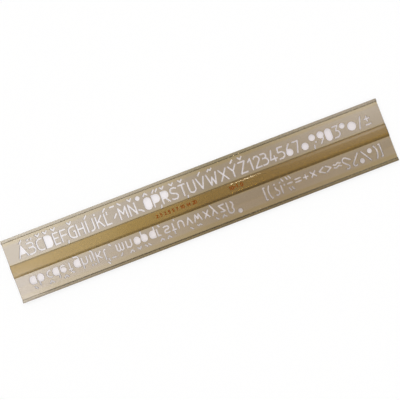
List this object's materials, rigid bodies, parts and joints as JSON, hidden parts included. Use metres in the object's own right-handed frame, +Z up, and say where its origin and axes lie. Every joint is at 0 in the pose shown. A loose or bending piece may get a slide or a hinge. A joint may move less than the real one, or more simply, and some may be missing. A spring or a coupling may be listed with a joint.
{
  "type": "lettering stencil",
  "caption": "Long flat stencil of clear amber plastic: two rows of letter slots for technical pens, parted by a raised spine, with a rail along each long edge.",
  "frame": {"origin": "under the middle of the stencil, on the plane of the back runners that it lies on", "axes": "+X along the rows in reading order, +Y across the rows towards the capitals, +Z up out of the front face"},
  "size_m": [0.32, 0.0528, 0.0026],
  "materials": {
    "sheet": "clear amber tint, polished, lightly scratched",
    "spine": "clear amber tint, thicker and so darker than the sheet",
    "rail": "clear amber tint, bevelled on one face",
    "print": "thin reddish brown pad print, shown by the visual model only"
  },
  "bodies": {
    "root": {"letter_plate": "sheet", "spine_front": "spine", "spine_back": "spine", "upper_rail_front": "rail", "upper_rail_back": "rail", "lower_rail_front": "rail", "lower_rail_back": "rail"}
  },
  "joints": []
}
